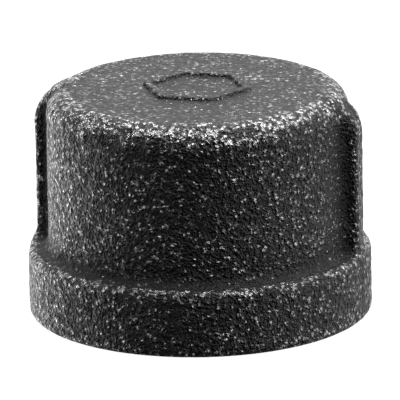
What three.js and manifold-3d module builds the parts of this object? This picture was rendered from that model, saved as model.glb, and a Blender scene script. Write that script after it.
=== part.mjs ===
// A malleable iron pipe cap, NPS 3/4, Class 150: a single casting with a tapped socket.
// Millimetres, +Z up. The origin is the centre of the mouth face and the two wrench ribs lie along X.

import * as THREE from "three";
import { mergeVertices } from "three/addons/utils/BufferGeometryUtils.js";
import Module from "manifold-3d";

const wasm = await Module();
wasm.setup();

// ---- Driving dimensions ----

const INCH = 25.4;
const height = 24.65; // mouth face to crown face

const band = { radius: 18.52, height: 7.3, footRadius: 0.7, topRadius: 0.9 };

const body = {
  footRadius: 16.35, // where the wall leaves the shoulder
  topRadius: 16.25, // below the crown's corner: the pattern's draft
  shoulderRise: 1.15, // the fillet from the band up to the wall
  cornerRadius: 2.45, // the crown's rounded rim
};

const rib = {
  radius: 17.9, // axis to the rib's outer face
  width: 3.1,
  edgeRadius: 0.6,
  footRise: 2.0, // the sweep from the band up to the rib's outer face
  sink: 0.2, // how far the rib's top lies under the crown face
};

// A plain raised hexagon stands where a foundry casts its mark.
const mark = { acrossFlats: 10.4, lineWidth: 0.9, rise: 0.38, edge: 0.17, buried: 0.35 };

// American standard taper pipe thread, 3/4-14 NPT, and the cored chamber behind it.
const pitch = INCH / 14;
const thread = {
  pitchRadius: (0.96768 * INCH) / 2, // at the mouth face
  taper: 1 / 32, // loss of radius per mm of depth
  depth: 0.8 * pitch,
  flat: 0.038 * pitch, // width of the crest and root flats
  length: 0.5 * INCH,
};
const mouth = { chamferRadius: 13.7, chamferDepth: 1.0 };
const chamber = { radius: 13.3, roof: 21.4, cornerRadius: 2.5 };

const AROUND = 72; // facets round the casting
const TURN_STEPS = 48; // facets round one turn of thread
const BELOW = 3.0; // how far the cutters run out below the mouth

// ---- Solids ----

function toSolid(geometry) {
  const bare = geometry.clone();
  bare.deleteAttribute("normal");
  bare.deleteAttribute("uv");
  const merged = mergeVertices(bare, 1e-4);
  return new wasm.Manifold(
    new wasm.Mesh({
      numProp: 3,
      vertProperties: merged.attributes.position.array,
      triVerts: new Uint32Array(merged.index.array),
    }),
  );
}

function toGeometry(solid) {
  const mesh = solid.getMesh();
  const geometry = new THREE.BufferGeometry();
  geometry.setAttribute("position", new THREE.BufferAttribute(mesh.vertProperties, 3));
  geometry.setIndex(new THREE.BufferAttribute(mesh.triVerts, 1));
  geometry.computeVertexNormals();
  return geometry;
}

// A profile of (radius, z) points, revolved about Z.
function revolve(profile) {
  return toSolid(new THREE.LatheGeometry(profile, AROUND).rotateX(Math.PI / 2));
}

// Points of a quarter ellipse about (r, z), from one quarter to the next: 0 is outwards and 1 is up.
function quarter(r, z, radiusR, radiusZ, from, to, steps) {
  return Array.from({ length: steps + 1 }, (_, i) => {
    const angle = ((from + ((to - from) * i) / steps) * Math.PI) / 2;
    return new THREE.Vector2(r + radiusR * Math.cos(angle), z + radiusZ * Math.sin(angle));
  });
}

// ---- The casting's outside ----

function bandAndBody() {
  const foot = band.footRadius;
  const edge = band.topRadius;
  const corner = body.cornerRadius;
  const rise = body.shoulderRise;
  const shoulder = band.radius - edge - body.footRadius;
  return revolve([
    new THREE.Vector2(0, 0),
    ...quarter(band.radius - foot, foot, foot, foot, -1, 0, 4),
    ...quarter(band.radius - edge, band.height - edge, edge, edge, 0, 1, 4),
    ...quarter(band.radius - edge, band.height + rise, shoulder, rise, -1, -2, 5).slice(1),
    ...quarter(body.topRadius - corner, height - corner, corner, corner, 0, 1, 6),
    new THREE.Vector2(0, height),
  ]);
}

// One wrench rib on the +X side. It sweeps out of the band and rolls over into the crown.
function wrenchRib() {
  const inner = body.topRadius - body.cornerRadius; // buried in the wall
  const roll = rib.radius - inner;
  const top = height - rib.sink;
  const footOut = band.radius - band.topRadius / 2;
  const side = new THREE.Shape([
    new THREE.Vector2(inner, band.height / 2),
    new THREE.Vector2(footOut, band.height / 2),
    ...quarter(footOut, band.height + rib.footRise, footOut - rib.radius, rib.footRise, -1, -2, 6),
    ...quarter(inner, top - roll, roll, roll, 0, 1, 8),
  ]);
  const geometry = new THREE.ExtrudeGeometry(side, {
    depth: rib.width - 2 * rib.edgeRadius,
    bevelThickness: rib.edgeRadius,
    bevelSize: rib.edgeRadius,
    bevelOffset: -rib.edgeRadius,
    bevelSegments: 3,
  });
  return toSolid(geometry.rotateX(Math.PI / 2).translate(0, rib.width / 2 - rib.edgeRadius, 0));
}

function hexagon(acrossFlats) {
  const corner = acrossFlats / Math.sqrt(3);
  return Array.from({ length: 6 }, (_, i) => {
    const angle = (i * Math.PI) / 3;
    return new THREE.Vector2(corner * Math.cos(angle), corner * Math.sin(angle));
  });
}

function crownMark() {
  const outline = new THREE.Shape(hexagon(mark.acrossFlats));
  outline.holes.push(new THREE.Path(hexagon(mark.acrossFlats - 2 * mark.lineWidth)));
  const geometry = new THREE.ExtrudeGeometry(outline, {
    depth: mark.rise + mark.buried - mark.edge,
    bevelThickness: mark.edge,
    bevelSize: mark.edge,
    bevelOffset: -mark.edge,
    bevelSegments: 2,
  });
  return toSolid(geometry.translate(0, 0, height - mark.buried));
}

// ---- The socket ----

// Cuts the cored chamber above the thread.
function chamberCutter() {
  const corner = chamber.cornerRadius;
  return revolve([
    new THREE.Vector2(0, thread.length),
    new THREE.Vector2(chamber.radius, thread.length),
    ...quarter(chamber.radius - corner, chamber.roof - corner, corner, corner, 0, 1, 6),
    new THREE.Vector2(0, chamber.roof),
  ]);
}

// Cuts the countersink at the mouth.
function chamferCutter() {
  const slope = 1; // 45 degrees
  return revolve([
    new THREE.Vector2(0, -1),
    new THREE.Vector2(mouth.chamferRadius + slope, -1),
    new THREE.Vector2(mouth.chamferRadius - slope * mouth.chamferDepth, mouth.chamferDepth),
    new THREE.Vector2(0, mouth.chamferDepth),
  ]);
}

// A taper tap: one right-handed helical strip, closed with a fan at each end.
function tap() {
  const from = -BELOW;
  const to = thread.length + 0.4 * pitch; // its last turn stops inside the chamber
  const rows = Math.round(((to - from) / pitch) * TURN_STEPS);
  const form = [
    [0, -0.5],
    [thread.flat, -0.5],
    [pitch / 2, 0.5],
    [pitch / 2 + thread.flat, 0.5],
  ]; // along the axis within one pitch, and the share of the thread's depth
  const columns = form.length;
  const positions = [];
  const add = (angle, z, share) => {
    const r = thread.pitchRadius - z * thread.taper + share * thread.depth;
    positions.push(r * Math.cos(angle), r * Math.sin(angle), z);
    return positions.length / 3 - 1;
  };
  const angleOf = (row) => (2 * Math.PI * row) / TURN_STEPS;
  const zOf = (row) => from + (pitch * row) / TURN_STEPS;

  const grid = [];
  for (let row = 0; row <= rows; row++)
    grid.push(form.map(([along, share]) => add(angleOf(row), zOf(row) + along, share)));
  // Column "columns" of a row is column 0 one turn later; past the last turn it is a vertex of its own.
  for (let row = 0; row <= rows; row++)
    grid[row][columns] =
      row + TURN_STEPS <= rows ? grid[row + TURN_STEPS][0] : add(angleOf(row), zOf(row) + pitch, form[0][1]);

  const triangles = [];
  for (let row = 0; row < rows; row++)
    for (let c = 0; c < columns; c++) {
      const [a, b] = [grid[row][c], grid[row + 1][c]];
      const [d, e] = [grid[row][c + 1], grid[row + 1][c + 1]];
      triangles.push(a, b, e, a, e, d);
    }

  // Each end's edge is one turn of the helix and the step that joins its two ends.
  const bottomEdge = [];
  for (let row = 0; row < TURN_STEPS; row++) bottomEdge.push(grid[row][0]);
  for (let c = columns; c > 0; c--) bottomEdge.push(grid[0][c]);
  const topEdge = [];
  for (let row = rows - TURN_STEPS; row < rows; row++) topEdge.push(grid[row][columns]);
  for (let c = columns; c > 0; c--) topEdge.push(grid[rows][c]);
  const centre = (z) => positions.push(0, 0, z) / 3 - 1;
  const bottom = centre(from);
  const top = centre(to + pitch);
  bottomEdge.forEach((v, i) => triangles.push(bottom, bottomEdge[(i + 1) % bottomEdge.length], v));
  topEdge.forEach((v, i) => triangles.push(top, v, topEdge[(i + 1) % topEdge.length]));

  const geometry = new THREE.BufferGeometry();
  geometry.setAttribute("position", new THREE.Float32BufferAttribute(positions, 3));
  geometry.setIndex(triangles);
  return toSolid(geometry);
}

// ---- The cap ----

function casting() {
  const ribSolid = wrenchRib();
  const outside = bandAndBody()
    .add(ribSolid)
    .add(ribSolid.rotate([0, 0, 180]))
    .add(crownMark());
  return outside.subtract(tap()).subtract(chamberCutter()).subtract(chamferCutter());
}

const blackIron = new THREE.MeshStandardMaterial({ color: 0x2b2b2b, roughness: 0.45, metalness: 0.6 });

const cap = new THREE.Mesh(toGeometry(casting()), blackIron);
cap.name = "cap_casting";

const part = new THREE.Group();
part.add(cap);

export default part;
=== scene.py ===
"""Looks of a malleable iron pipe cap: one casting in black iron, on a pale floor in soft studio light.

The CAD casting is faceted. A fine mesh of the same shape stands for it: a distance function of the
casting is turned into a closed skin, the sand mould's grain is pressed into that skin, and the taper
thread, the chamber and the mouth are cut out of it.
"""

import math

import bpy
import numpy as np
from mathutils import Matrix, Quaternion, Vector


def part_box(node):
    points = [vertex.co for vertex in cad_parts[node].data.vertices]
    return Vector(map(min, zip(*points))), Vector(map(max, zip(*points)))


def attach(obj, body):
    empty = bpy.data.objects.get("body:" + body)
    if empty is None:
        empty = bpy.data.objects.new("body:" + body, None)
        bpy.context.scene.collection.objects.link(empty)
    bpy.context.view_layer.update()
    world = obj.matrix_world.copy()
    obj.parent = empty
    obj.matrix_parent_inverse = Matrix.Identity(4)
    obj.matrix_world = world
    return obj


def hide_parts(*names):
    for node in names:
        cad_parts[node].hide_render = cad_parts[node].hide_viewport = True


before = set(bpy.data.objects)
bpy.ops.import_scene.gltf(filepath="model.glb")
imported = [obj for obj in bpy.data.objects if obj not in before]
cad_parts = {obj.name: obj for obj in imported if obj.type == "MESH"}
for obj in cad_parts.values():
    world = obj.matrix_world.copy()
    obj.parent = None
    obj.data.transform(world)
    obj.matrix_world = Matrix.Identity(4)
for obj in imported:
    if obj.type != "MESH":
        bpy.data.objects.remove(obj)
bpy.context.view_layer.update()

MM = 0.001
INCH = 25.4

# ---- The casting, in millimetres ----

low, high = (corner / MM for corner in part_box("cap_casting"))

MARK_RISE = 0.38
HEIGHT = high.z - MARK_RISE  # mouth face to crown face
BAND_RADIUS = high.x
BAND_HEIGHT = 7.3
BAND_FOOT = 0.7
BAND_EDGE = 0.9
BODY_FOOT_RADIUS = 16.35  # where the wall leaves the shoulder
BODY_TOP_RADIUS = 16.25  # at the crown's corner
SHOULDER = 1.3
CORNER = 2.45
RIB_RADIUS = 17.9
RIB_WIDTH = 3.1
RIB_EDGE = 0.65
RIB_ROOT = 0.9  # fillet between rib and wall
RIB_SINK = 0.2  # how far the rib's top lies under the crown face
RIB_ROLL = RIB_RADIUS - (BODY_TOP_RADIUS - CORNER)
MARK_ACROSS = 10.4
MARK_LINE = 0.9

PITCH = INCH / 14  # 3/4-14 NPT
THREAD_RADIUS = 0.96768 * INCH / 2
THREAD_TAPER = 1 / 32
THREAD_DEPTH = 0.8 * PITCH
THREAD_FLAT = 0.038 * PITCH
THREAD_LENGTH = 0.5 * INCH
CHAMFER_RADIUS = 13.7
CHAMFER_DEPTH = 1.0
CHAMBER_RADIUS = 13.3
CHAMBER_ROOF = 21.4
CHAMBER_CORNER = 2.5

# ---- Looks ----

SCALE_DARK = (0.003, 0.003, 0.0032)
SCALE_PALE = (0.007, 0.007, 0.0072)
BARE_METAL = (0.34, 0.34, 0.34)

FLOOR_SIZE = 8.0  # metres

CAMERA_AZIMUTH = 14  # degrees: the camera stands a little towards +X
CAMERA_ELEVATION = 16.7
CAMERA_ROLL = -1.0
CAMERA_DISTANCE = 0.74  # metres
CAMERA_LENS = 617
AIM_HEIGHT = 12.03
AIM_RIGHT = 0.09

SKIN_STEP = 0.26  # spacing of the skin's vertices


# ---- Distance function of the casting's outside ----


def fillet_union(a, b, radius):
    """The smaller of two distances, with a round fillet where the two surfaces meet."""
    u = np.maximum(radius - a, 0)
    v = np.maximum(radius - b, 0)
    return np.maximum(radius, np.minimum(a, b)) - np.hypot(u, v)


def round_intersection(a, b, radius):
    """The larger of two distances, with a rounded edge where the two surfaces meet."""
    u = np.maximum(radius + a, 0)
    v = np.maximum(radius + b, 0)
    return np.minimum(-radius, np.maximum(a, b)) + np.hypot(u, v)


def band_distance(r, z):
    side = r - BAND_RADIUS
    lower = round_intersection(side, -z, BAND_FOOT)
    return np.maximum(lower, round_intersection(side, z - BAND_HEIGHT, BAND_EDGE))


def body_distance(r, z):
    draft = (BODY_FOOT_RADIUS - BODY_TOP_RADIUS) / (HEIGHT - BAND_HEIGHT)
    wall = (r - BODY_FOOT_RADIUS + draft * (z - BAND_HEIGHT)) / math.hypot(1, draft)
    return np.maximum(round_intersection(wall, z - HEIGHT, CORNER), -z)


def rib_distance(x, y, z):
    """Both wrench ribs: bars along the wall that roll over into the crown."""
    side = np.abs(y) - RIB_WIDTH / 2
    outer = round_intersection(np.abs(x) - RIB_RADIUS, z - HEIGHT + RIB_SINK, RIB_ROLL)
    bar = round_intersection(side, outer, RIB_EDGE)
    inner = BODY_TOP_RADIUS - CORNER - np.abs(x)
    return np.maximum(np.maximum(bar, BAND_HEIGHT / 2 - z), inner)


def mark_distance(x, y, z):
    """A plain raised outline of a hexagon."""
    x = np.abs(x)
    y = np.abs(y)
    hexagon = np.maximum(y, x * math.cos(math.pi / 6) + y * 0.5) - MARK_ACROSS / 2
    line = np.abs(hexagon + MARK_LINE / 2) - MARK_LINE / 2
    return round_intersection(line, np.abs(z - HEIGHT) - MARK_RISE, 0.2)


def casting_distance(p):
    x, y, z = p[..., 0], p[..., 1], p[..., 2]
    r = np.hypot(x, y)
    rib = rib_distance(x, y, z)
    body = fillet_union(body_distance(r, z), rib, RIB_ROOT)
    band = fillet_union(band_distance(r, z), body, SHOULDER)
    return fillet_union(band, mark_distance(x, y, z), 0.12)


# ---- From distance function to skin ----


def skin_quads(inside):
    """One vertex in each cell that the surface passes through, and the quads that join them."""
    cells = tuple(n - 1 for n in inside.shape)
    count = np.zeros(cells, np.int8)
    for dx in (0, 1):
        for dy in (0, 1):
            for dz in (0, 1):
                count += inside[dx : dx + cells[0], dy : dy + cells[1], dz : dz + cells[2]]
    crossed = (count > 0) & (count < 8)
    index = np.full(cells, -1)
    index[crossed] = np.arange(crossed.sum())
    quads = []
    for axis in range(3):
        solid = np.moveaxis(inside, axis, 0)
        cell = np.moveaxis(index, axis, 0)
        here, there = solid[:-1, 1:-1, 1:-1], solid[1:, 1:-1, 1:-1]
        i, j, k = np.nonzero(here != there)
        ring = [cell[i, j, k], cell[i, j + 1, k], cell[i, j + 1, k + 1], cell[i, j, k + 1]]
        quad = np.stack(ring, axis=1)
        outward = here[i, j, k] ^ (axis == 1)
        quads.append(np.where(outward[:, None], quad, quad[:, ::-1]))
    return np.argwhere(crossed), np.concatenate(quads)


def pull_to_surface(points, distance):
    """Newton's step along the distance function's gradient."""
    small = 0.01
    value = distance(points)
    gradient = np.empty_like(points)
    for axis in range(3):
        shift = np.zeros(3)
        shift[axis] = small
        gradient[:, axis] = (distance(points + shift) - distance(points - shift)) / (2 * small)
    size = np.maximum((gradient**2).sum(1), 0.25)
    return points - gradient * (value / size)[:, None], gradient


def even_out(points, quads):
    """Moves each vertex half way to the mean of its neighbours."""
    total = np.zeros_like(points)
    count = np.zeros(len(points))
    for side in range(4):
        a, b = quads[:, side], quads[:, (side + 1) % 4]
        for axis in range(3):
            total[:, axis] += np.bincount(a, points[b, axis], len(points))
            total[:, axis] += np.bincount(b, points[a, axis], len(points))
        count += np.bincount(a, minlength=len(points)) + np.bincount(b, minlength=len(points))
    return (points + total / count[:, None]) / 2


def make_skin(distance, step):
    margin = 3 * step
    reach = np.array([BAND_RADIUS, BAND_RADIUS, 0]) + margin
    start = -reach
    counts = np.ceil((np.array([reach[0], reach[1], high.z + margin]) - start) / step).astype(int) + 1
    axes = [start[a] + step * np.arange(counts[a]) for a in range(3)]
    grid = np.stack(np.meshgrid(*axes, indexing="ij"), axis=-1)
    cells, quads = skin_quads(distance(grid) < 0)
    points = start + step * (cells + 0.5)
    for _ in range(4):
        points, _ = pull_to_surface(points, distance)
        points = even_out(points, quads)
    for _ in range(3):
        points, gradient = pull_to_surface(points, distance)
    normals = gradient / np.linalg.norm(gradient, axis=1)[:, None]
    return points, normals, quads


# ---- Cast grain ----


def lattice_value(cell, seed):
    """A repeatable value from 0 to 1 for each point of a whole-number lattice."""
    n = (cell[:, 0] * 73856093) ^ (cell[:, 1] * 19349663) ^ (cell[:, 2] * 83492791) ^ (seed * 2654435)
    n = (n ^ (n >> 13)) * 1274126177 & 0x7FFFFFFF
    n = (n ^ (n >> 16)) * 668265263 & 0x7FFFFFFF
    return ((n ^ (n >> 15)) & 0xFFFF) / 65535


def value_noise(points, size, seed):
    """Smooth noise from -1 to 1 with bumps of about that size."""
    scaled = points / size
    base = np.floor(scaled).astype(np.int64)
    t = scaled - base
    t = t * t * t * (t * (6 * t - 15) + 10)
    total = np.zeros(len(points))
    for corner in np.ndindex(2, 2, 2):
        weight = np.prod(np.where(np.array(corner) == 1, t, 1 - t), axis=1)
        total += weight * lattice_value(base + np.array(corner), seed)
    return 2 * total - 1


def turned(points, turns):
    """The points turned, so that a lattice's axes don't line up with the casting's."""
    axis = Vector((0.3 + turns, 0.7, 0.5 - turns)).normalized()
    matrix = np.array(Quaternion(axis, 0.7 + 1.3 * turns).to_matrix())
    return points @ matrix.T


def cast_grain(points):
    """How far the grain stands above the nominal surface in millimetres, and the fine part's share of it."""
    swell = value_noise(turned(points, 1), 4.5, 1)
    lump = value_noise(turned(points, 2), 1.7, 2)
    pebble = value_noise(turned(points, 3), 0.72, 3)
    z = points[:, 2]
    crown = np.clip((z - HEIGHT + 0.8) / 0.8, 0, 1)
    rim = np.exp(-(((z - HEIGHT + 1.9) / 1.3) ** 2))
    strength = (1 - 0.75 * crown) * (1 + 1.2 * rim)
    mouth = np.clip(z / 0.6, 0, 1)
    rise = 0.02 * swell + strength * (0.03 * lump + 0.05 * pebble)
    return rise * mouth, pebble


def curvature(points, distance, step=0.4):
    """How sharply the surface bends, per millimetre: above 0 on outside edges, below 0 in hollows."""
    total = -6 * distance(points)
    for axis in range(3):
        shift = np.zeros(3)
        shift[axis] = step
        total += distance(points + shift) + distance(points - shift)
    return np.clip(total / step**2, -1.5, 1.5)


# ---- Meshes ----


def mesh_object(name, points, faces):
    mesh = bpy.data.meshes.new(name)
    mesh.from_pydata([tuple(p * MM) for p in points], [], [tuple(f) for f in faces])
    mesh.validate()
    piece = bpy.data.objects.new(name, mesh)
    bpy.context.scene.collection.objects.link(piece)
    return piece


def revolved(name, profile, around=144):
    """A closed solid from a profile of (radius, z) that starts and ends on the axis."""
    inner = profile[1:-1]
    points = [np.array([0, 0, profile[0][1]]), np.array([0, 0, profile[-1][1]])]
    for step in range(around):
        angle = 2 * math.pi * step / around
        points += [np.array([r * math.cos(angle), r * math.sin(angle), z]) for r, z in inner]
    at = lambda step, i: 2 + (step % around) * len(inner) + i
    faces = []
    for step in range(around):
        faces.append((0, at(step + 1, 0), at(step, 0)))
        for i in range(len(inner) - 1):
            faces.append((at(step, i), at(step + 1, i), at(step + 1, i + 1), at(step, i + 1)))
        faces.append((at(step, len(inner) - 1), at(step + 1, len(inner) - 1), 1))
    return mesh_object(name, points, faces)


def arc(r, z, radius, start, end, steps):
    """Points of an arc in the (radius, z) plane. Angles are in degrees: 0 is outwards and 90 is up."""
    angles = [math.radians(start + (end - start) * i / steps) for i in range(steps + 1)]
    return [(r + radius * math.cos(a), z + radius * math.sin(a)) for a in angles]


def chamber_cutter():
    """The cored chamber behind the thread."""
    step = 0.3
    rings = int((CHAMBER_ROOF - CHAMBER_CORNER - THREAD_LENGTH) / step)
    lower = [(CHAMBER_RADIUS, THREAD_LENGTH + step * i) for i in range(rings)]
    corner = arc(CHAMBER_RADIUS - CHAMBER_CORNER, CHAMBER_ROOF - CHAMBER_CORNER, CHAMBER_CORNER, 0, 90, 10)
    roof = [(r, CHAMBER_ROOF) for r in np.arange(CHAMBER_RADIUS - CHAMBER_CORNER - 0.5, 0.3, -0.5)]
    return revolved("chamber", [(0, THREAD_LENGTH), *lower, *corner, *roof, (0, CHAMBER_ROOF)])


def mouth_cutter():
    """Faces the mouth off flat and countersinks it."""
    wide = BAND_RADIUS + 2
    return revolved(
        "mouth",
        [
            (0, -3),
            (wide, -3),
            (wide, 0),
            (CHAMFER_RADIUS, 0),
            (CHAMFER_RADIUS - CHAMFER_DEPTH, CHAMFER_DEPTH),
            (0, CHAMFER_DEPTH),
        ],
    )


def tap(turn_steps=144):
    """A taper tap: one right-handed helical strip, closed with a fan at each end."""
    start = -1.5
    end = THREAD_LENGTH + 0.4 * PITCH
    rows = round((end - start) / PITCH * turn_steps)
    form = [(0, -0.5), (THREAD_FLAT, -0.5), (PITCH / 2, 0.5), (PITCH / 2 + THREAD_FLAT, 0.5)]
    columns = len(form)
    points = []

    def add(row, along, share):
        z = start + PITCH * row / turn_steps + along
        angle = 2 * math.pi * row / turn_steps
        r = THREAD_RADIUS - z * THREAD_TAPER + share * THREAD_DEPTH
        points.append(np.array([r * math.cos(angle), r * math.sin(angle), z]))
        return len(points) - 1

    grid = [[add(row, along, share) for along, share in form] for row in range(rows + 1)]
    for row in range(rows + 1):
        later = row + turn_steps
        grid[row].append(grid[later][0] if later <= rows else add(row, PITCH, form[0][1]))
    faces = []
    for row in range(rows):
        for c in range(columns):
            faces.append((grid[row][c], grid[row + 1][c], grid[row + 1][c + 1], grid[row][c + 1]))
    bottom_edge = [grid[row][0] for row in range(turn_steps)] + grid[0][:0:-1]
    top_edge = [grid[row][columns] for row in range(rows - turn_steps, rows)] + grid[rows][:0:-1]
    points += [np.array([0, 0, start]), np.array([0, 0, end + PITCH])]
    bottom, top = len(points) - 2, len(points) - 1
    faces += [(bottom, b, a) for a, b in zip(bottom_edge, bottom_edge[1:] + bottom_edge[:1])]
    faces += [(top, a, b) for a, b in zip(top_edge, top_edge[1:] + top_edge[:1])]
    return mesh_object("tap", points, faces)


def cut(piece, cutter):
    modifier = piece.modifiers.new("cut", "BOOLEAN")
    modifier.operation = "DIFFERENCE"
    modifier.solver = "MANIFOLD"
    modifier.material_mode = "TRANSFER"
    modifier.object = cutter
    bpy.context.view_layer.objects.active = piece
    bpy.ops.object.modifier_apply(modifier=modifier.name)
    bpy.data.objects.remove(cutter)


# ---- Materials ----


class Nodes:
    """A material's node tree, with short calls to add and join nodes."""

    def __init__(self, name):
        self.material = bpy.data.materials.new(name)
        self.material.use_nodes = True
        self.tree = self.material.node_tree
        self.shader = self.tree.nodes["Principled BSDF"]

    def add(self, kind, **values):
        node = self.tree.nodes.new("ShaderNode" + kind)
        for name, value in values.items():
            setattr(node, name, value)
        return node

    def join(self, source, target):
        self.tree.links.new(source, target)

    def noise(self, size, detail=2.0, roughness=0.5, place=None):
        """Noise with bumps of about that size in millimetres."""
        node = self.add("TexNoise")
        node.inputs["Scale"].default_value = 1 / (size * MM)
        node.inputs["Detail"].default_value = detail
        node.inputs["Roughness"].default_value = roughness
        self.join(place, node.inputs["Vector"])
        return node.outputs["Factor"] if "Factor" in node.outputs else node.outputs["Fac"]

    def dots(self, size, place):
        """Round spots about that far apart in millimetres: 1 at a spot's middle, falling away round it."""
        node = self.add("TexVoronoi")
        node.inputs["Scale"].default_value = 1 / (size * MM)
        self.join(place, node.inputs["Vector"])
        return self.math("SUBTRACT", 1.0, node.outputs["Distance"])

    def math(self, operation, a, b=0.0):
        node = self.add("Math", operation=operation)
        for socket, value in zip(node.inputs, (a, b)):
            if isinstance(value, (int, float)):
                socket.default_value = value
            else:
                self.join(value, socket)
        return node.outputs[0]

    def spread(self, value, low_in, high_in, low_out, high_out):
        node = self.add("MapRange")
        for name, number in zip(
            ("From Min", "From Max", "To Min", "To Max"), (low_in, high_in, low_out, high_out)
        ):
            node.inputs[name].default_value = number
        self.join(value, node.inputs["Value"])
        return node.outputs["Result"]

    def mix_colours(self, factor, a, b):
        node = self.add("Mix", data_type="RGBA")
        self.join(factor, node.inputs["Factor"])
        for name, value in (("A", a), ("B", b)):
            socket = next(s for s in node.inputs if s.name == name and s.type == "RGBA")
            if isinstance(value, tuple):
                socket.default_value = (*value, 1)
            else:
                self.join(value, socket)
        return next(s for s in node.outputs if s.type == "RGBA")

    def bump(self, height, distance, strength=1.0, normal=None):
        """Distance is the height of the relief in millimetres."""
        node = self.add("Bump")
        node.inputs["Distance"].default_value = distance * MM
        if isinstance(strength, float):
            node.inputs["Strength"].default_value = strength
        else:
            self.join(strength, node.inputs["Strength"])
        self.join(height, node.inputs["Height"])
        if normal is not None:
            self.join(normal, node.inputs["Normal"])
        return node.outputs["Normal"]


def cast_iron():
    """Black scale over cast iron, rubbed through to bright metal in spots, with more on outside edges, most
    where they face up, which is partly a painted highlight along the crown's rim. Creases get less, which is
    partly painted shade; the crown, facing up, gets fewer spots.
    """
    n = Nodes("cast_black_iron")
    place = n.add("TexCoord").outputs["Object"]
    grain = n.noise(0.48, detail=2.0, roughness=0.6, place=place)
    fine = n.noise(0.26, detail=1.0, place=place)
    patch = n.noise(2.4, detail=3.0, place=place)

    facing = n.add("NewGeometry").outputs["Normal"]
    split = n.add("SeparateXYZ")
    n.join(facing, split.inputs[0])
    crown = n.spread(split.outputs["Z"], 0.55, 0.95, 0.0, 1.0)
    strength = n.spread(crown, 0.0, 1.0, 1.0, 0.55)
    relief = n.bump(grain, 0.8, strength)
    relief = n.bump(fine, 0.3, strength, relief)
    n.join(relief, n.shader.inputs["Normal"])

    bend = n.add("Attribute", attribute_name="bend").outputs["Fac"]
    # Outside edges get more bare metal where they face up: rubbing, and partly a painted highlight along the
    # crown's rim.
    upward = n.spread(split.outputs["Z"], 0.25, 0.7, 0.25, 1.0)
    edge = n.math("MULTIPLY", n.spread(bend, 0.12, 0.45, 0.0, 0.11), upward)
    # Creases get less bare metal: partly scale left unrubbed, partly painted shade, such as the dark line
    # round the foot of the mark.
    hollow = n.spread(bend, -0.9, -0.1, 1.0, 0.0)
    pebble = n.add("Attribute", attribute_name="relief").outputs["Fac"]
    spots = n.dots(0.5, place)
    top = n.math("ADD", n.math("MULTIPLY", pebble, 0.06), n.math("MULTIPLY", grain, 0.6))
    top = n.math("ADD", top, n.math("MULTIPLY", spots, 0.4))
    top = n.math("ADD", top, edge)
    top = n.math("SUBTRACT", top, n.math("MULTIPLY", crown, 0.035))
    top = n.math("SUBTRACT", top, n.math("MULTIPLY", hollow, 0.07))
    wear_and_painted_light = n.spread(top, 0.565, 0.67, 0.0, 1.0)
    scale = n.mix_colours(n.spread(patch, 0.35, 0.65, 0.0, 1.0), SCALE_DARK, SCALE_PALE)
    n.join(n.mix_colours(wear_and_painted_light, scale, BARE_METAL), n.shader.inputs["Base Color"])
    n.join(wear_and_painted_light, n.shader.inputs["Metallic"])
    n.join(n.spread(top, 0.40, 0.62, 0.60, 0.20), n.shader.inputs["Roughness"])
    n.shader.inputs["IOR"].default_value = 1.42
    return n.material


def cut_iron():
    """Turned and tapped metal, darkened by cutting oil."""
    n = Nodes("machined_iron")
    place = n.add("TexCoord").outputs["Object"]
    stretched = n.add("Mapping")
    stretched.inputs["Scale"].default_value = (1, 1, 9)
    n.join(place, stretched.inputs["Vector"])
    lines = n.noise(0.6, detail=3.0, place=stretched.outputs["Vector"])
    stain = n.noise(2.5, detail=3.0, place=place)
    n.join(n.bump(lines, 0.015), n.shader.inputs["Normal"])
    colour = n.mix_colours(n.spread(stain, 0.35, 0.65, 0.0, 1.0), (0.10, 0.098, 0.095), (0.20, 0.195, 0.19))
    n.join(colour, n.shader.inputs["Base Color"])
    n.join(n.spread(lines, 0.3, 0.7, 0.28, 0.45), n.shader.inputs["Roughness"])
    n.shader.inputs["Metallic"].default_value = 1.0
    return n.material


# ---- The cap ----


def make_cap():
    points, normals, quads = make_skin(casting_distance, SKIN_STEP)
    rise, pebble = cast_grain(points)
    cap = mesh_object("cap", points + normals * rise[:, None], quads)
    bend = curvature(points, casting_distance)
    # The mark's outside edges get no extra wear, so its outline stays dark: the creases round it keep their
    # darkening, which is partly painted shade.
    on_mark = (points[:, 2] > HEIGHT - 0.6) & (np.hypot(points[:, 0], points[:, 1]) < MARK_ACROSS * 0.7)
    bend[on_mark] = np.minimum(bend[on_mark], 0)
    for name, values in (("relief", pebble), ("bend", bend)):
        cap.data.attributes.new(name, "FLOAT", "POINT").data.foreach_set("value", values)
    cap.data.materials.append(cast_iron())
    machined = cut_iron()
    for make in (tap, chamber_cutter, mouth_cutter):
        cutter = make()
        cutter.data.materials.append(cap.data.materials[0] if make is chamber_cutter else machined)
        cut(cap, cutter)
    for face in cap.data.polygons:
        face.use_smooth = cap.data.materials[face.material_index].name != "machined_iron"
    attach(cap, "root")
    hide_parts("cap_casting")
    return cap


# ---- Floor, lights and camera ----


def make_floor():
    """A pale floor, for the camera only: the casting neither mirrors it nor takes light from it."""
    half = FLOOR_SIZE / 2
    corners = [np.array([x, y, 0]) / MM * half for x, y in ((-1, -1), (1, -1), (1, 1), (-1, 1))]
    floor = mesh_object("floor", corners, [(0, 1, 2, 3)])
    floor.location.z = -0.02 * MM
    n = Nodes("pale_floor")
    out = n.tree.nodes["Material Output"]
    n.tree.nodes.remove(n.shader)
    paper = n.add("MixShader")
    paper.inputs[0].default_value = 0.82
    lit = n.add("BsdfDiffuse")
    lit.inputs["Color"].default_value = (0.9, 0.9, 0.9, 1)
    glow = n.add("Emission")
    glow.inputs["Strength"].default_value = 1.2
    n.join(lit.outputs[0], paper.inputs[1])
    n.join(glow.outputs[0], paper.inputs[2])
    n.join(paper.outputs[0], out.inputs["Surface"])
    floor.data.materials.append(n.material)
    floor.visible_diffuse = False
    floor.visible_glossy = False


def direction(azimuth, elevation):
    """From the object towards that compass direction: azimuth 0 is -Y and 90 is +X."""
    a, e = math.radians(azimuth), math.radians(elevation)
    return Vector((math.sin(a) * math.cos(e), -math.cos(a) * math.cos(e), math.sin(e)))


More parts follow.
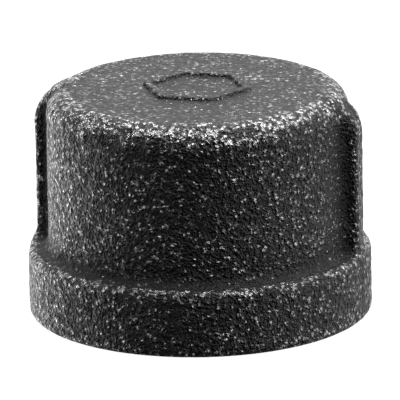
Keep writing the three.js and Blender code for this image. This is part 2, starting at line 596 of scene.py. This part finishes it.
# The pools of soft light round the casting. Each has an azimuth from the camera's own, rising towards
# the camera's right, an elevation, a tightness (a higher number is a smaller pool) and a brightness.
# Those below the horizon light the upright walls.
POOLS = (
    (-145, -17, 40, 4.2),
    (-112, -17, 25, 3.6),
    (145, -17, 25, 1.2),
    (180, 17, 14, 1.05),
    (180, 45, 12, 0.5),
    (150, 80, 16, 6.5),
    (95, -17, 25, 2.6),
    (90, 35, 8, 1.7),
)


def make_world():
    """White for the camera. For the casting, pools of soft light round it."""
    world = bpy.data.worlds.new("studio")
    world.use_nodes = True
    tree = world.node_tree
    tree.nodes.clear()

    def add(kind, **values):
        node = tree.nodes.new("ShaderNode" + kind)
        for name, value in values.items():
            setattr(node, name, value)
        return node

    towards = add("TexCoord").outputs["Generated"]
    total = None
    for azimuth, elevation, tightness, brightness in POOLS:
        facing = add("VectorMath", operation="DOT_PRODUCT")
        facing.inputs[1].default_value = direction(CAMERA_AZIMUTH + azimuth, elevation)
        tree.links.new(towards, facing.inputs[0])
        half = add("Math", operation="MULTIPLY_ADD")
        half.inputs[1].default_value = 0.5
        half.inputs[2].default_value = 0.5
        tree.links.new(facing.outputs["Value"], half.inputs[0])
        falloff = add("Math", operation="POWER")
        falloff.inputs[1].default_value = tightness
        tree.links.new(half.outputs[0], falloff.inputs[0])
        pool = add("Math", operation="MULTIPLY", label="pool")
        pool.inputs[1].default_value = brightness
        tree.links.new(falloff.outputs[0], pool.inputs[0])
        if total is None:
            total = pool.outputs[0]
        else:
            join = add("Math", operation="ADD")
            tree.links.new(total, join.inputs[0])
            tree.links.new(pool.outputs[0], join.inputs[1])
            total = join.outputs[0]
    room = add("Background")
    tree.links.new(total, room.inputs["Strength"])
    backdrop = add("Background")
    backdrop.inputs["Strength"].default_value = 1.05
    for node in (room, backdrop):
        node.inputs["Color"].default_value = (1, 1, 1, 1)
    mix = add("MixShader")
    tree.links.new(add("LightPath").outputs["Is Camera Ray"], mix.inputs[0])
    tree.links.new(room.outputs[0], mix.inputs[1])
    tree.links.new(backdrop.outputs[0], mix.inputs[2])
    tree.links.new(mix.outputs[0], add("OutputWorld").inputs[0])
    bpy.context.scene.world = world


def softbox(name, azimuth, elevation, distance, width, height, brightness):
    """An area light that faces the object. Brightness is its radiance."""
    data = bpy.data.lights.new(name, "AREA")
    data.shape = "RECTANGLE"
    data.size = width
    data.size_y = height
    data.energy = brightness * math.pi * width * height
    light = bpy.data.objects.new(name, data)
    towards = direction(azimuth, elevation)
    light.location = Vector((0, 0, HEIGHT / 2 * MM)) + towards * distance
    light.rotation_mode = "QUATERNION"
    light.rotation_quaternion = towards.to_track_quat("Z", "Y")
    light.visible_camera = False
    bpy.context.scene.collection.objects.link(light)


def make_lights():
    softbox("top_light", CAMERA_AZIMUTH + 180, 78, 0.6, 0.3, 0.2, 9.0)


def make_camera():
    data = bpy.data.cameras.new("camera")
    data.sensor_width = 36
    data.lens = CAMERA_LENS
    data.clip_start = 0.05
    data.clip_end = 20
    camera = bpy.data.objects.new("camera", data)
    towards = direction(CAMERA_AZIMUTH, CAMERA_ELEVATION)
    right = direction(CAMERA_AZIMUTH + 90, 0)
    camera.location = Vector((0, 0, AIM_HEIGHT * MM)) + right * AIM_RIGHT * MM + towards * CAMERA_DISTANCE
    camera.rotation_mode = "QUATERNION"
    roll = Quaternion((0, 0, 1), math.radians(CAMERA_ROLL))
    camera.rotation_quaternion = towards.to_track_quat("Z", "Y") @ roll
    bpy.context.scene.collection.objects.link(camera)
    bpy.context.scene.camera = camera


make_camera()
make_floor()
make_world()
make_lights()
make_cap()
bpy.context.scene.view_settings.view_transform = "Standard"
